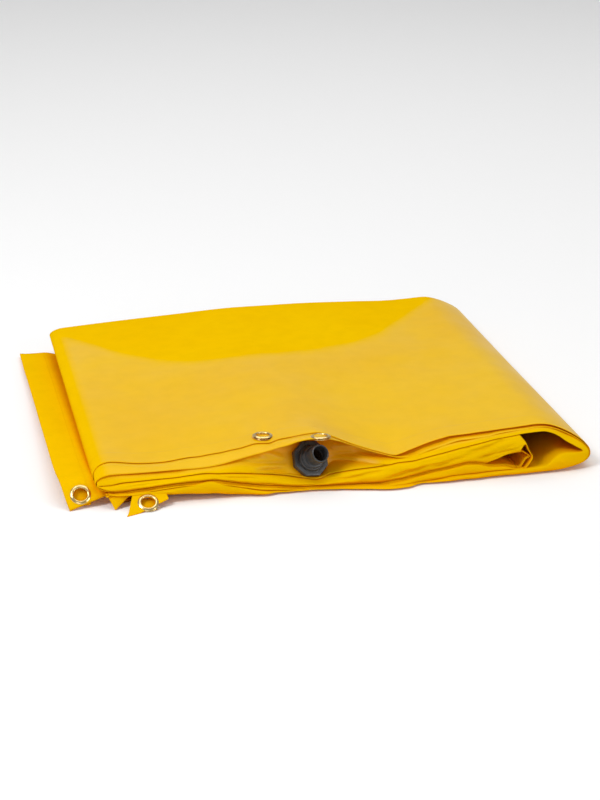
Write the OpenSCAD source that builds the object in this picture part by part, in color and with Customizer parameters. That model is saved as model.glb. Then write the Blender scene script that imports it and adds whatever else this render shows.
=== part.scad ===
// Folded leak-diverting drain tarp: a square vinyl sheet with welded hems and
// corner eyelets, folded to a sixteenth, with a hose drain fitting at its front fold.
// +X runs along the front to the right, +Y to the back, +Z up.
// The origin is on the ground under the middle of the folded bundle.

/* [Sheet] */
// Thickness of one ply of vinyl
vinyl_t = 0.6; // [0.5:0.05:0.6]
// Width of the folded bundle, left roll to right fold
bundle_w = 730; // [720:1:732]
// Depth of the folded bundle, front to back
bundle_d = 696; // [690:1:700]
// Width of a welded hem
hem_w = 40; // [34:1:42]

/* [Stack heights] */
// Underside of the third pass
third_z = 4.4; // [4.2:0.1:4.6]
// Underside of the second pass
second_z = 8.6; // [8.4:0.1:8.8]
// Top of the first layer at its crest over the fitting
crest_z = 75; // [74:0.5:76]
// Top of the first layer at the left roll
left_z = 48; // [46:0.5:50]
// Top of the first layer where the right fold starts
right_z = 69; // [67:0.5:70]

/* [Drain fitting] */
// Tilt of the fitting's axis from vertical
drain_tilt = 58; // [56:1:60]
// Turn of the fitting's axis towards the right
drain_turn = 16; // [14:1:18]
// Radius of the water bore
bore_r = 11; // [9:0.5:11.5]
// Outer radius of the hose spigot
spigot_r = 13.2; // [12.8:0.1:14]
// Outer radius of the threaded barrel
barrel_r = 16.5; // [16:0.1:17]
// Radius of the flange inside the sheet
flange_r = 25; // [24:0.5:25]
// Size of the locknut across its flats
nut_af = 52; // [50:1:53]
// Thickness of the locknut's eight-sided part
nut_t = 9; // [8:0.5:9]
// Radial running clearance of nut and washer on the barrel
thread_gap = 0.05; // [0.02:0.01:0.1]

/* [Eyelets] */
// Hole radius of an eyelet
eye_r = 10; // [9:0.25:10]
// Outer radius of an eyelet's face
eye_flange_r = 15; // [14:0.25:15]
// Wall of an eyelet's barrel
eye_wall = 0.8; // [0.6:0.1:0.9]

/* [Hidden] */
$fn = 64;
hw = bundle_w / 2;
hd = bundle_d / 2;
pass_t = 4 * vinyl_t;
// the straight stretches run between the roll's and the fold's centre lines
roll_x = -hw + 20;
fold_x = hw - 32;
inner_x = 275;
// steps down from the first layer's top to the layers under it
second_drop = 3.0;
inner_drop = 6.4;
roll_t = inner_drop + 2 * vinyl_t;
top_line = [[roll_x, left_z], [-250, 54], [-140, 66], [-84, 66], [-58, crest_z],
            [-8, crest_z], [60, 70], [160, 66], [290, 68], [fold_x, right_z]];
second_line = [[roll_x, second_z + pass_t], [60, second_z + pass_t], [180, 16], [inner_x, 22]];
third_line = [[60, third_z + pass_t], [inner_x, 8.4]];
front_y = -hd;
back_y = hd;
// eyelet centres: x, y
top_eye = [-111, -281];
second_eye = [-34, -322];
flap_eye = [-384.5, -330.5, 17];
under_eye = [-292, -361, 5.9];
// slope of the flap's front corner and of the under corner
flap_tilt = 45;
under_tilt = 10;
flap_perp = vinyl_t / cos(flap_tilt);
bottom_eye = [[-322, -318], [-322, 318]];
drain_at = [-48, -305.4, 32.4];
sheet_hole_r = eye_r + eye_wall + 0.1;
vinyl = [0.94, 0.76, 0.04];
vinyl_deep = [0.85, 0.60, 0.03];
brass = [0.80, 0.62, 0.25];
black = [0.10, 0.10, 0.11];

function lower(line, d) = [for (p = line) [p[0], p[1] - d]];
function back_to_front(line) = [for (i = [len(line) - 1:-1:0]) line[i]];
// height of a broken line at x
function at(line, x, i = 0) = x <= line[i + 1][0] || i + 2 >= len(line)
    ? line[i][1] + (line[i + 1][1] - line[i][1]) * (x - line[i][0]) / (line[i + 1][0] - line[i][0])
    : at(line, x, i + 1);

// a sheet that follows a broken line in X and Z, thickness t down from it
module ribbon(line, t, y0, y1) {
    translate([0, y1, 0]) rotate([90, 0, 0])
        linear_extrude(height = y1 - y0)
            polygon(concat(line, back_to_front(lower(line, t))));
}
// half tube about a Y axis, open to the left (side 1) or to the right (side -1)
module half_roll(cx, z0, z1, t, side, y0, y1) {
    r = (z1 - z0) / 2;
    translate([cx, y1, (z0 + z1) / 2]) rotate([90, 0, 0])
        linear_extrude(height = y1 - y0) difference() {
            circle(r = r, $fn = 72);
            circle(r = r - t, $fn = 72);
            translate([side > 0 ? -2 * r : 0, -2 * r]) square([2 * r, 4 * r]);
        }
}
// a flat panel of the given outline between two heights
module plate(outline, z0, z1) {
    translate([0, 0, z0]) linear_extrude(height = z1 - z0) polygon(outline);
}
// face, barrel and curled end of one eyelet through a sheet t thick, sheet top at z 0
module eyelet(t) {
    rotate_extrude() polygon([
        [eye_r, 0.8], [eye_r, -t - 1.6], [eye_r + 2, -t - 1.6], [eye_r + 2, -t - 0.8],
        [eye_r + eye_wall, -t - 0.8], [eye_r + eye_wall, 0], [eye_flange_r, 0],
        [eye_flange_r, 0.4], [eye_flange_r - 0.4, 0.8], [eye_flange_r - 1.6, 1.1],
        [eye_r + 1.2, 1.2], [eye_r + 0.4, 1.1]]);
}
module eyelet_washer(t) {
    translate([0, 0, -t - 0.8]) difference() {
        cylinder(r = eye_flange_r - 0.3, h = 0.8);
        translate([0, 0, -1]) cylinder(r = eye_r + eye_wall + 0.05, h = 3);
    }
}
module hole(c, z0, z1) translate([c[0], c[1], z0]) cylinder(r = sheet_hole_r, h = z1 - z0);
module at_drain() translate(drain_at) rotate([0, 0, drain_turn]) rotate([drain_tilt, 0, 0]) children();

module bottom_pass() color(vinyl_deep) difference() {
    plate([[-350, front_y], [fold_x, front_y], [fold_x, back_y], [-350, back_y]], 0, pass_t);
    for (c = bottom_eye) {
        hole(c, -1, 4);
        translate([c[0], c[1], -1]) cylinder(r = eye_flange_r + 0.3, h = 1 + pass_t - vinyl_t);
    }
}
module bottom_hem() color(vinyl) difference() {
    plate([[-350, front_y], [-350 + hem_w + 4, front_y], [-350 + hem_w + 4, back_y], [-350, back_y]],
          pass_t, pass_t + vinyl_t);
    for (c = bottom_eye) hole(c, 0, 6);
}
module bottom_eyelets() color(brass)
    for (c = bottom_eye) translate([c[0], c[1], pass_t + vinyl_t]) eyelet(2 * vinyl_t);
module bottom_eyelet_washers() color(brass)
    for (c = bottom_eye) translate([c[0], c[1], pass_t + vinyl_t]) eyelet_washer(2 * vinyl_t);
module right_fold() color(vinyl)
    half_roll(fold_x, 0, right_z, 5 * vinyl_t, -1 * -1, front_y + 4, back_y - 2);

module top_layer() color(vinyl) difference() {
    ribbon(top_line, vinyl_t, -303, back_y - 4);
    hole(top_eye, 60, 80);
}
module top_hem() color(vinyl_deep) difference() {
    ribbon(lower(top_line, vinyl_t), vinyl_t, -303, -303 + hem_w);
    hole(top_eye, 60, 80);
}
module top_eyelet() color(brass)
    translate([top_eye[0], top_eye[1], at(top_line, top_eye[0])]) eyelet(2 * vinyl_t);
module top_eyelet_washer() color(brass)
    translate([top_eye[0], top_eye[1], at(top_line, top_eye[0])]) eyelet_washer(2 * vinyl_t);
module second_layer() color(vinyl) difference() {
    ribbon(lower(top_line, second_drop), vinyl_t, -338, back_y - 6);
    hole(second_eye, 60, 80);
}
module second_hem() color(vinyl_deep) difference() {
    ribbon(lower(top_line, second_drop + vinyl_t), vinyl_t, -338, -338 + hem_w);
    hole(second_eye, 60, 80);
}
module second_eyelet() color(brass)
    translate([second_eye[0], second_eye[1], at(top_line, second_eye[0]) - second_drop]) eyelet(2 * vinyl_t);
module second_eyelet_washer() color(brass)
    translate([second_eye[0], second_eye[1], at(top_line, second_eye[0]) - second_drop]) eyelet_washer(2 * vinyl_t);
module drain_upper_layer() color(vinyl)
    ribbon(lower(top_line, inner_drop), 2 * vinyl_t, -292, back_y - 8);
module drain_lower_layer() color(vinyl)
    ribbon(lower(second_line, -1.6), 2 * vinyl_t, -268, back_y - 8);
module drain_panel() color(vinyl_deep) intersection() {
    at_drain() translate([0, 0, -vinyl_t]) difference() {
        cylinder(r = 36, h = vinyl_t);
        translate([0, 0, -1]) cylinder(r = barrel_r + 0.2, h = 3);
    }
    translate([-120, -360, second_z + pass_t + 0.2]) cube([140, 120, 49]);
}
module drain_body() color(black) at_drain() rotate_extrude($fn = 96) polygon([
    [bore_r, -5.6], [flange_r, -5.6], [flange_r, -2.6], [barrel_r, -2.6],
    [barrel_r, 22], [barrel_r - 0.8, 22.8], [spigot_r + 1, 22.8], [spigot_r, 24],
    [spigot_r, 43.7], [spigot_r - 0.8, 44.7], [bore_r, 44.7]]);
module drain_gasket() color([0.05, 0.05, 0.05]) at_drain() translate([0, 0, -2.6]) difference() {
    cylinder(r = flange_r - 1, h = 2);
    translate([0, 0, -1]) cylinder(r = barrel_r + 0.1, h = 4);
}
module left_roll() color(vinyl)
    half_roll(roll_x, second_z, left_z, roll_t, -1, front_y + 22, back_y - 8);
module second_pass() color(vinyl) difference() {
    ribbon(second_line, pass_t, front_y + 6, back_y - 4);
    // the hollow that the fitting presses into this pass
    at_drain() translate([0, 0, -8]) cylinder(r = 30, h = 60);
}
module inner_fold() color(vinyl)
    half_roll(inner_x, 8.4 - pass_t, 22, pass_t, 1, front_y + 6, back_y - 4);
module third_pass() color(vinyl_deep) {
    union() {
        plate([[-362, -314], [-346, -352], [-332, front_y + 2], [-328, -314], [-240, -314],
               [-240, front_y + 2], [60, front_y + 2], [60, back_y - 4], [-362, back_y - 4]],
              third_z, third_z + pass_t);
        ribbon(third_line, pass_t, front_y + 2, back_y - 4);
    }
}
// a plate tilted down towards the front about an eyelet's centre
module tilted(c, a) translate(c) rotate([a, 0, 0]) children();
module under_corner() color(vinyl) tilted(under_eye, under_tilt) difference() {
    plate([[-33, -22.5], [30, 13], [34, 17], [-33, 17]], -2 * vinyl_t, -vinyl_t);
    hole([0, 0], -6, 6);
}
module under_corner_hem() color(vinyl_deep) tilted(under_eye, under_tilt) difference() {
    plate([[-33, -22.5], [30, 13], [30, 14], [-30, 14]], -vinyl_t, 0);
    translate([0, 0, -6]) cylinder(r = sheet_hole_r, h = 12);
}
module under_corner_eyelet() color(brass) tilted(under_eye, under_tilt) eyelet(2 * vinyl_t);
module under_corner_washer() color(brass) tilted(under_eye, under_tilt) eyelet_washer(2 * vinyl_t);

// heights of the flap's upper face: y, z, from the bend to the back and from the bend to the tip
flap_back = [[back_y - 18, 7], [-312.5, 34.2]];
flap_front = [[-312.5, 34.2], [-343.5, 3.2]];
module along_x(line, t, x0, x1)
    translate([x0, 0, 0]) rotate([90, 0, 90]) linear_extrude(height = x1 - x0)
        polygon(concat(line, back_to_front(lower(line, t))));
module flap_outline(points) translate([0, 0, -5]) linear_extrude(height = 60) polygon(points);
module flap_strip() color(vinyl) difference() {
    intersection() {
        union() {
            along_x(flap_back, 2 * vinyl_t, -420, -360);
            along_x(flap_front, 2 * flap_perp, -420, -360);
        }
        flap_outline([[-402, -344], [-368, -322], [-368, back_y - 18], [-418, back_y - 18], [-414, 3], [-411, -186]]);
    }
    tilted(flap_eye, flap_tilt) hole([0, 0], -8, 8);
}
module flap_hem() color(vinyl_deep) difference() {
    intersection() {
        union() {
            along_x(lower(flap_back, -vinyl_t), vinyl_t, -420, -360);
            along_x(lower(flap_front, -flap_perp), flap_perp, -420, -360);
        }
        flap_outline([[-402, -344], [-370, -324], [-370, -304], [-392, -298], [-400, -180], [-404, 3],
                      [-406, back_y - 18], [-418, back_y - 18], [-414, 3], [-411, -186]]);
    }
    // flat seat and hole for the eyelet
    tilted(flap_eye, flap_tilt) {
        hole([0, 0], -8, 8);
        cylinder(r = eye_flange_r + 0.2, h = 8);
    }
}
module flap_eyelet() color(brass) tilted(flap_eye, flap_tilt) eyelet(3 * vinyl_t);
module flap_eyelet_washer() color(brass) tilted(flap_eye, flap_tilt) eyelet_washer(3 * vinyl_t);

module nut_washer() color(black) at_drain() translate([0, 0, 0.1]) difference() {
    cylinder(r = 24, h = 1.5);
    translate([0, 0, -1]) cylinder(r = barrel_r + thread_gap, h = 4);
}
module locknut() color(black) at_drain() translate([0, 0, 1.7]) difference() {
    union() {
        rotate([0, 0, 22.5]) cylinder(r = nut_af / 2 / cos(22.5), h = nut_t, $fn = 8);
        cylinder(r = 19.5, h = nut_t + 6);
    }
    translate([0, 0, -1]) cylinder(r = barrel_r + thread_gap, h = nut_t + 9);
}

bottom_pass();
bottom_hem();
bottom_eyelets();
bottom_eyelet_washers();
right_fold();
top_layer();
top_hem();
top_eyelet();
top_eyelet_washer();
second_layer();
second_hem();
second_eyelet();
second_eyelet_washer();
drain_upper_layer();
drain_lower_layer();
drain_panel();
drain_body();
drain_gasket();
left_roll();
second_pass();
inner_fold();
third_pass();
under_corner();
under_corner_hem();
under_corner_eyelet();
under_corner_washer();
flap_strip();
flap_hem();
flap_eyelet();
flap_eyelet_washer();
nut_washer();
locknut();
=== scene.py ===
import bpy, bmesh, math
import numpy as np
from mathutils import Vector, Matrix


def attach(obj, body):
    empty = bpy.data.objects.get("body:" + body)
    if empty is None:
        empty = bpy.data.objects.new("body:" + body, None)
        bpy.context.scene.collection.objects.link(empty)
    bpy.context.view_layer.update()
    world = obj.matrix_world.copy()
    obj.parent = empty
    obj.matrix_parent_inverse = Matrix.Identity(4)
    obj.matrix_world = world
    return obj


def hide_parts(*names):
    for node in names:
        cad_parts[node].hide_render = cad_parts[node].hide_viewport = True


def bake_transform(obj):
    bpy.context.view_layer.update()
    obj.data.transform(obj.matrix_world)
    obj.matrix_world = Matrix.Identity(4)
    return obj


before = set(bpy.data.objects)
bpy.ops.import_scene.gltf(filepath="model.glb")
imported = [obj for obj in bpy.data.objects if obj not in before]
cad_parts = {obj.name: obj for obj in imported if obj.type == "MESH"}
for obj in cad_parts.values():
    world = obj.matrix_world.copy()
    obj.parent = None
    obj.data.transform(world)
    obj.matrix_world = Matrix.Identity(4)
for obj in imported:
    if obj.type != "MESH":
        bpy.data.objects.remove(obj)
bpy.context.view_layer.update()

MM = 0.001
scene = bpy.context.scene
T = 0.6          # one ply of vinyl, mm

# ------------------------------------------------------------------ helpers
def interp(x, xs, ys):
    """Monotone cubic (PCHIP) through given points, held at its ends."""
    xs = np.asarray(xs, float); ys = np.asarray(ys, float)
    x = np.asarray(x, float)
    h = np.diff(xs); d = np.diff(ys) / h
    m = np.zeros(len(xs)); m[0] = d[0]; m[-1] = d[-1]
    for i in range(1, len(xs) - 1):
        if d[i - 1] * d[i] > 0:
            w1 = 2 * h[i] + h[i - 1]; w2 = h[i] + 2 * h[i - 1]
            m[i] = (w1 + w2) / (w1 / d[i - 1] + w2 / d[i])
    xc = np.clip(x, xs[0], xs[-1])
    i = np.clip(np.searchsorted(xs, xc, side="right") - 1, 0, len(xs) - 2)
    t = (xc - xs[i]) / h[i]
    a = (1 + 2 * t) * (1 - t) ** 2; b = t * (1 - t) ** 2
    c = t * t * (3 - 2 * t); e = t * t * (t - 1)
    return a * ys[i] + b * h[i] * m[i] + c * ys[i + 1] + e * h[i] * m[i + 1]

def smooth(e0, e1, x):
    t = np.clip((np.asarray(x, float) - e0) / (e1 - e0), 0, 1)
    return t * t * (3 - 2 * t)

def tab(rows, x, col):
    rows = sorted(rows)
    return interp(x, [r[0] for r in rows], [r[col] for r in rows])

def waves(x, y, seed, n=9, lo=90., hi=420.):
    """A sum of a few long seeded waves, about -1 to 1."""
    rng = np.random.RandomState(seed)
    out = np.zeros(np.broadcast(x, y).shape)
    for _ in range(n):
        a = rng.uniform(0, 2 * math.pi); L = rng.uniform(lo, hi); p = rng.uniform(0, 2 * math.pi)
        out = out + np.sin(2 * math.pi * (x * math.cos(a) + y * math.sin(a)) / L + p)
    return out / math.sqrt(n) / 1.6

# ------------------------------------------------------------------ the fold, in millimetres: x, y, z of each front line
L1 = [(-345, -296, 51.0), (-338, -296, 50.0), (-325, -296, 48.5), (-311, -297, 46.5), (-295, -297, 44.5), (-268, -297, 43.5), (-254, -298, 44.5),
      (-237, -298, 46.5), (-224, -298, 48.0), (-208, -299, 48.8), (-195, -299, 50.5), (-178, -300, 52.5),
      (-163, -301, 55.5), (-148, -302, 58.0), (-136, -302, 61.0), (-125, -303, 63.6), (-115, -303, 63.4), (-106, -304, 63.0), (-99, -304, 65.4),
      (-92, -305, 68.0), (-75, -306, 70.5), (-49, -308, 74.5), (-37, -309, 75.5), (-27, -310, 74.0),
      (-14, -311, 68.5), (16, -316, 56.0), (37, -321, 49.0), (55, -326, 44.0), (69, -330, 40.5), (76, -332, 39.6),
      (86, -330, 41.0), (100, -328, 45.0), (115, -325, 48.5), (124, -324, 51.0), (147, -321, 55.5), (165, -319, 57.8),
      (187, -319, 58.8), (204, -319, 60.0), (223, -320, 61.5), (237, -321, 63.0), (256, -322, 64.5),
      (277, -323, 66.5), (295, -324, 68.0), (300, -325, 68.0)]
L2 = [(-345, -330, 44.0), (-338, -330, 43.6), (-322, -329, 43.0), (-303, -329, 42.6), (-273, -329, 42.6), (-239, -328, 42.4), (-220, -328, 42.0),
      (-203, -328, 42.6), (-183, -328, 45.0), (-160, -328, 50.0), (-138, -328, 55.0), (-115, -329, 60.0), (-97, -330, 65.0),
      (-81, -332, 69.0), (-70, -332, 72.4), (-51, -333, 75.3), (-36, -334, 75.8), (-22, -333, 73.0), (-12, -328, 69.0), (0, -320, 62.4), (16, -319, 54.7), (37, -324, 47.6),
      (55, -329, 42.6), (69, -333, 39.0), (78, -335, 37.0), (95, -335, 35.5), (109, -335, 37.5), (126, -333, 42.5), (149, -330, 47.0),
      (162, -329, 50.5), (176, -328, 53.0), (197, -328, 54.0), (221, -328, 56.0), (235, -328, 59.0), (255, -328, 61.0),
      (276, -328, 62.5), (294, -328, 64.0), (300, -328, 64.0)]
L3 = [(-351, -338, 24.0), (-347, -338, 26.5), (-336, -338, 31.0), (-326, -338, 33.2), (-311, -338, 33.4), (-291, -338, 34.0),
      (-247, -338, 35.0), (-231, -338, 36.0), (-208, -338, 37.0), (-185, -338, 35.5), (-162, -338, 34.0), (-132, -337, 30.0),
      (-101, -335, 25.0), (-81, -333, 20.5), (-56, -332, 14.0), (-39, -332, 11.5), (-32, -332, 13.0), (-22, -333, 18.0),
      (-5, -336, 21.5), (16, -339, 24.5), (50, -342, 27.5), (67, -343, 30.0), (76, -344, 32.0), (98, -344, 33.0), (115, -344, 36.0),
      (132, -343, 39.0), (154, -343, 43.0), (171, -343, 46.5), (193, -343, 50.0), (217, -342, 54.5), (242, -342, 58.0),
      (260, -342, 60.5), (277, -343, 62.5), (300, -343, 63.0)]
L4 = [(-352, -344, 22.5), (-324, -344, 23.0), (-312, -344, 24.5), (-292, -344, 25.5), (-275, -344, 27.0), (-248, -344, 29.0),
      (-222, -344, 29.5), (-200, -344, 30.0), (-193, -344, 29.5), (-171, -344, 25.0), (-141, -344, 19.5), (-111, -344, 15.0),
      (-83, -344, 11.0), (-64, -344, 8.8), (-24, -344, 7.6), (1, -344, 7.4), (27, -345, 7.2), (44, -345, 7.2), (57, -345, 8.0),
      (79, -345, 10.5), (106, -345, 14.5), (132, -345, 18.8), (154, -345, 22.0), (176, -345, 26.0), (198, -345, 29.5),
      (217, -345, 33.5), (240, -345, 39.0)]
L5 = [(-352, -346, 20.0), (-300, -346, 20.5), (-258, -346, 21.5), (-242, -346, 23.0), (-226, -346, 24.5), (-213, -346, 27.0), (-203, -346, 28.5),
      (-197, -346, 28.0), (-186, -346, 23.5), (-164, -346, 17.5), (-149, -346, 13.5), (-130, -346, 9.5), (-112, -346, 6.8),
      (-84, -346, 5.0), (0, -346, 4.2), (60, -347, 4.0), (115, -347, 4.2), (128, -347, 5.0), (141, -347, 6.5), (158, -347, 9.0), (193, -347, 9.5),
      (231, -347, 10.5), (260, -347, 11.0), (300, -347, 12.0)]
BOT = [(-352, -346, 18.5), (-325, -346, 15.5), (-300, -346, 13.0), (-255, -346, 11.0), (-223, -346, 9.0), (-186, -346, 6.0), (-168, -346, 3.0), (-141, -346, 1.2),
       (-110, -346, 0.8), (0, -346, 0.6), (300, -346, 0.6)]
# the low folds are squeezed forward under the fitting
FWD = [(-365, 0.0), (-150, 0.0), (-121, 5.0), (-100, 1.0), (-60, 1.0), (-25, 4.0), (18, 12.0), (66, 22.0), (87, 20.0), (115, 11.0), (154, 12.0), (217, 9.0), (279, 7.0), (300, 6.0)]
BACK = [(-365, 346, 43.0), (-340, 346, 45.0), (-248, 346, 51.0), (-158, 346, 56.0), (-30, 346, 62.0), (60, 346, 62.0), (169, 346, 59.0),
        (236, 346, 56.5), (270, 346, 57.5), (304, 346, 59.0), (325, 346, 58.0)]

FY, BY = -348.0, 346.0
XL, XR = -338.0, 300.0          # where the top pass meets the left roll and the right fold
XI = 262.0                      # where the second and third passes meet the inner fold

DRAIN_O = np.array([-48.0, -305.4, 32.4])
_el, _tu = math.radians(58), math.radians(16)
DRAIN_A = np.array([math.sin(_el) * math.sin(_tu), -math.sin(_el) * math.cos(_tu), math.cos(_el)])

# layers of a pass, from the outside in: 0 and 1 are the two hem layers, 2 and 3 the two that meet at the front nose
NQ = 46
def spread(a, b, n=NQ):
    """n values from a to b, closer together near a."""
    q = np.linspace(0, 1, n)
    return a + (b - a) * (0.35 * q + 0.65 * q ** 2.2)

def section(x, P):
    """Profile of one pass at each x: returns Y, Z arrays (len(x), nt) and the layer of each column."""
    cols_y, cols_z, lay = [], [], []
    def layer(k, back_to_front):
        f, b = P["y"][k], P["yb"][k]
        q = np.linspace(0, 1, NQ); q = 0.30 * q + 0.70 * q ** 2.4
        if back_to_front: q = q[::-1]
        for v in q:
            y = f + (b - f) * v
            cols_y.append(y); cols_z.append(P["z"][k](x, y)); lay.append(k)
    def fold(k0, k1, at_back, n, bulge):
        y0, y1 = (P["yb"][k0], P["yb"][k1]) if at_back else (P["y"][k0], P["y"][k1])
        z0, z1 = P["z"][k0](x, y0), P["z"][k1](x, y1)
        s = 1 if at_back else -1
        for i in range(1, n + 1):
            a = math.pi * i / (n + 1)
            m = (1 - math.cos(a)) / 2
            cols_y.append(y0 + (y1 - y0) * m + s * bulge * math.sin(a))
            cols_z.append(z0 + (z1 - z0) * m); lay.append(10 + k0)
    layer(0, False)
    fold(0, 3, True, 7, P["back_bulge"])
    layer(3, True)
    fold(3, 2, False, P.get("nose_n", 15), P["nose_bulge"])
    layer(2, False)
    fold(2, 1, True, 5, P["back_bulge"] * 0.6)
    layer(1, True)
    return np.stack(cols_y, 1), np.stack(cols_z, 1), np.array(lay)

def mix(front, back, w):
    return back + (front - back) * w

def fall(y, f, L):
    """1 at the front edge f, 0 from L behind it."""
    return 1 - smooth(0, 1, (y - f) / L)

def slow_part(rows, x):
    """The long shape of a front line, without its short dips."""
    xs = np.linspace(-345, 300, 130); zs = tab(rows, xs, 2)
    k = np.exp(-0.5 * (np.arange(-22, 23) / 9.0) ** 2); k /= k.sum()
    pad = np.concatenate([np.full(22, zs[0]), zs, np.full(22, zs[-1])])
    return np.interp(x, xs, np.convolve(pad, k, mode="valid"))

def zback(x): return tab(BACK, x, 2)

# ---- top pass
def top_z0(x, y):
    f = tab(L1, x, 1); s = slow_part(L1, x); d = tab(L1, x, 2) - s
    z = mix(s, zback(x), fall(y, f, 560.)) + d * fall(y, f, 120.) ** 1.5
    return z + 0.55 * waves(x, y, 3) * smooth(-300, -200, y) * (1 - smooth(300, 346, y))
def top_z1(x, y):
    f = tab(L2, x, 1)
    own = tab(L2, x, 2)
    under = top_z0(x, np.maximum(y, tab(L1, x, 1))) - 1.7 - 1.0 * smooth(-300, -200, y)
    under = under + 0.15 * np.maximum(tab(L1, x, 1) - y, 0)
    w = 1 - smooth(0, 26, y - f)
    return np.minimum(mix(own, under, w), under)
def top_z2(x, y):
    under = top_z1(x, np.maximum(y, tab(L2, x, 1) + 8)) - 1.5
    return under - 1.0 * smooth(-300, -200, y)
def top_z3(x, y):
    f = tab(L3, x, 1); own = tab(L3, x, 2)
    deep = top_z2(x, y) - 3.0 - 5.0 * np.exp(-((y + 60) / 200.) ** 2)
    return mix(own, deep, fall(y, f, 210.))
def top_pass(x):
    y1 = tab(L2, x, 1)
    return {"y": [tab(L1, x, 1), y1, y1 + 12, tab(L3, x, 1) + 2], "yb": [BY - 6 + 0 * x, BY - 9 + 0 * x, BY - 10 + 0 * x, BY - 7 + 0 * x],
            "z": [top_z0, top_z1, top_z2, top_z3], "back_bulge": 5.0, "nose_bulge": 4.0, "nose_n": 21}

# the lower edge of pass 2's nose and the upper edge of pass 3's: they part at the slit of the inner fold
SLIT_T = [(180, 26.8), (195, 26.2), (209, 23.0), (224, 27.2), (240, 33.0), (250, 35.0), (262, 36.0)]
SLIT_B = [(180, 24.8), (195, 24.0), (206, 20.6), (216, 17.8), (228, 17.0), (240, 16.2), (252, 12.6), (262, 10.8)]
def p2_low(x):
    w = smooth(176, 190, x)
    return (tab(L4, x, 2) + 0.6) * (1 - w) + tab(SLIT_T, x, 2 - 1) * w
def p3_high(x):
    w = smooth(176, 190, x)
    return (tab(L4, x, 2) - 1.8 - 1.6 * (1 - smooth(20, 90, x))) * (1 - w) + tab(SLIT_B, x, 2 - 1) * w

# ---- second pass (turned over: its nose is on top)
def p2_mid_back(x): return zback(x) * 0.42 + 2
def p2_z3(x, y):
    own = tab(L3, x, 2) - 1.6
    deep = np.minimum(p2_mid_back(x) + 3.5, top_z3(x, y) - 2.0)
    return np.minimum(mix(own, deep, fall(y, -338., 200.)), top_z3(x, np.maximum(y, tab(L3, x, 1) + 2)) - 1.3)
def p2_z2(x, y):
    own = np.minimum(p2_low(x), tab(L3, x, 2) - 2.6)
    deep = p2_mid_back(x) + 2.2
    return np.minimum(mix(own, deep, fall(y, -344., 200.)), p2_z3(x, y) - 1.0)
def p2_z1(x, y):
    own = p2_low(x) - 0.9
    return np.minimum(mix(own, p2_mid_back(x) + 1.0, fall(y, -344., 200.)), p2_z2(x, y) - 0.9)
def p2_z0(x, y):
    own = p2_low(x) - 1.7
    return np.minimum(mix(own, p2_mid_back(x) - 0.2, fall(y, -344., 200.)), p2_z1(x, y) - 0.9)
def second_pass(x):
    o = 0 * x
    f_ = 0.32 * tab(FWD, x, 1)
    return {"y": [o - 342 - f_, o - 343 - f_, tab(L4, x, 1) + 2 - f_, tab(L3, x, 1) + 0.5 - 0.3 * f_], "yb": [BY - 7 + o, BY - 10 + o, BY - 11 + o, BY - 8 + o],
            "z": [p2_z0, p2_z1, p2_z2, p2_z3], "back_bulge": 4.0, "nose_bulge": 4.6, "nose_n": 21}

# ---- third pass
def p3_mid_back(x): return zback(x) * 0.20 + 1.0
def p3_z0(x, y):
    own = p3_high(x)
    return np.minimum(mix(own, p3_mid_back(x) + 2.4, fall(y, -344., 190.)), p2_z0(x, y) - 0.9)
def p3_z1(x, y):
    own = p3_high(x) - 0.8
    return np.minimum(mix(own, p3_mid_back(x) + 1.4, fall(y, -344., 190.)), p3_z0(x, y) - 0.9)
def p3_z2(x, y):
    own = p3_high(x) - 1.6
    return np.minimum(mix(own, p3_mid_back(x) + 0.4, fall(y, -344., 190.)), p3_z1(x, y) - 0.8)
def p3_z3(x, y):
    own = tab(L5, x, 2)
    return np.minimum(mix(own, p3_mid_back(x) - 0.6, fall(y, -344., 190.)), p3_z2(x, y) - 0.8)
def third_pass(x):
    o = 0 * x
    f_ = 0.62 * tab(FWD, x, 1)
    return {"y": [o - 343 - 0.6 * f_, o - 343.5 - 0.7 * f_, o - 344 - 0.8 * f_, tab(L5, x, 1) + 2 - f_], "yb": [BY - 8 + o, BY - 11 + o, BY - 12 + o, BY - 9 + o],
            "z": [p3_z0, p3_z1, p3_z2, p3_z3], "back_bulge": 3.0, "nose_bulge": 2.2, "nose_n": 21}

# ---- bottom pass (turned over), nose on top
def bt_lift(x, y): return tab(BOT, x, 2) * fall(y, -346., 260.)
def bt_z0(x, y): return 0.5 + bt_lift(x, y) * 0.96
def bt_z1(x, y): return bt_z0(x, y) + 0.9
def bt_z2(x, y): return bt_z1(x, y) + 0.9
def bt_z3(x, y):
    own = tab(L5, x, 2) - 1.0
    return np.maximum(bt_z2(x, y) + 0.8, mix(own, 4.0, fall(y, -346., 150.)))
def bottom_pass(x):
    o = 0 * x
    f_ = tab(FWD, x, 1)
    return {"y": [o - 341 - f_, o - 343 - f_, o - 345 - f_, o - 345.5 - 0.9 * f_], "yb": [BY - 8 + o, BY - 11 + o, BY - 12 + o, BY - 9 + o],
            "z": [bt_z0, bt_z1, bt_z2, bt_z3], "back_bulge": 2.0, "nose_bulge": 3.0, "nose_n": 21}

def pass_points(xs, P):
    xs = np.asarray(xs, float)
    Y, Z, lay = section(xs, P(xs))
    X = np.repeat(xs[:, None], Y.shape[1], 1)
    return np.stack([X, Y, Z], 2), lay

def arc(a, b, side, n, reach, low=0.0):
    """Half-round rows between row a (above) and row b (below); side -1 bulges to -X. reach per column."""
    out = []
    for i in range(1, n + 1):
        f = math.pi * i / (n + 1)
        m = (1 - math.cos(f)) / 2
        row = a + (b - a) * m
        row[:, 0] = (a[:, 0] + (b[:, 0] - a[:, 0]) * m) + side * reach * math.sin(f) * (1 - low * math.cos(f))
        out.append(row)
    return np.stack(out, 0)

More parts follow.
